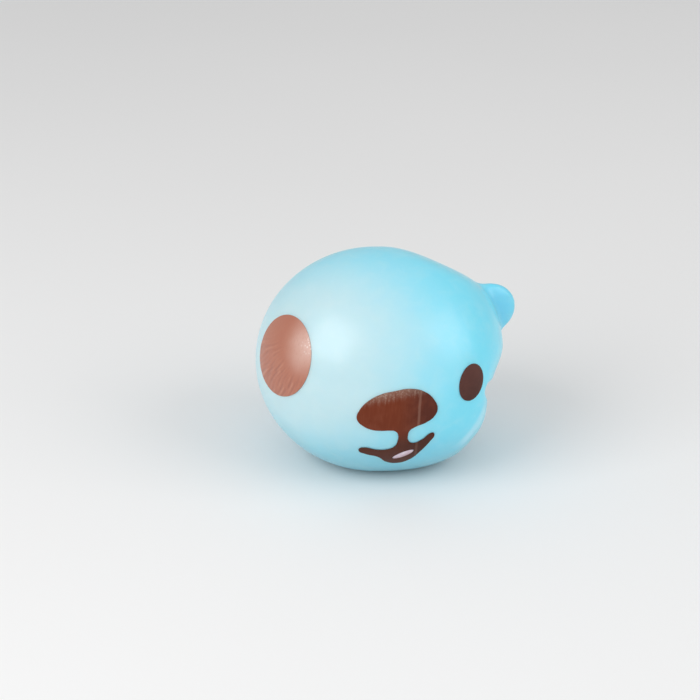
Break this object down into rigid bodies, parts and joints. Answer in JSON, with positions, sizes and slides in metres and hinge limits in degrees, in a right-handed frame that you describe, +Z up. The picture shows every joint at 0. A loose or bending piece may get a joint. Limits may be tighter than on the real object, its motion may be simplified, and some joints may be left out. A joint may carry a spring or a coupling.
{
  "type": "stress ball",
  "caption": "Soft rubber animal-head squeeze ball with a dough filling and a printed face, shaped as a grip leaves it, one cheek pushed out.",
  "frame": {"origin": "centre of the flat base, on the plane it rests on", "axes": "+Z up, -Y out of the face, +X to the right of someone who faces it"},
  "size_m": [0.0584, 0.0512, 0.0487],
  "materials": {
    "skin_rubber": "smooth translucent moulded rubber with a soft gloss",
    "dough": "soft white dough",
    "plug_rubber": "moulded rubber",
    "cement": "cured clear cement",
    "brown_ink": "stretched, finely crazed pad print",
    "dark_ink": "satin pad print",
    "red_brown_ink": "satin pad print with fine upright streaks",
    "pink_ink": "glossy pad print"
  },
  "bodies": {
    "shell": {"skin": "skin_rubber", "fill_plug": "plug_rubber", "plug_cement": "cement"},
    "core": {"filling": "dough"},
    "left_eye": {"left_eye_print": "brown_ink"},
    "right_eye": {"right_eye_print": "dark_ink"},
    "muzzle": {"muzzle_print": "red_brown_ink", "tongue_print": "pink_ink"}
  },
  "joints": [
    {"name": "squeeze", "type": "slide", "parent": "shell", "child": "core", "axis": [0, 0, -1], "range_m": [0, 0.00812], "stiffness_N_per_m": 4000, "deforming": ["skin", "filling"]},
    {"name": "left_eye_sink", "type": "slide", "parent": "shell", "child": "left_eye", "axis": [0, 0, -1], "range_m": [-0.001, 0.0117]},
    {"name": "right_eye_sink", "type": "slide", "parent": "shell", "child": "right_eye", "axis": [0, 0, -1], "range_m": [-0.001, 0.0103]},
    {"name": "muzzle_sink", "type": "slide", "parent": "shell", "child": "muzzle", "axis": [0, 0, -1], "range_m": [-0.001, 0.0071]}
  ],
  "couplings": [
    {"joint": "left_eye_sink", "follows": "squeeze", "ratio": 1.3233},
    {"joint": "right_eye_sink", "follows": "squeeze", "ratio": 1.1509},
    {"joint": "muzzle_sink", "follows": "squeeze", "ratio": 0.7543}
  ]
}
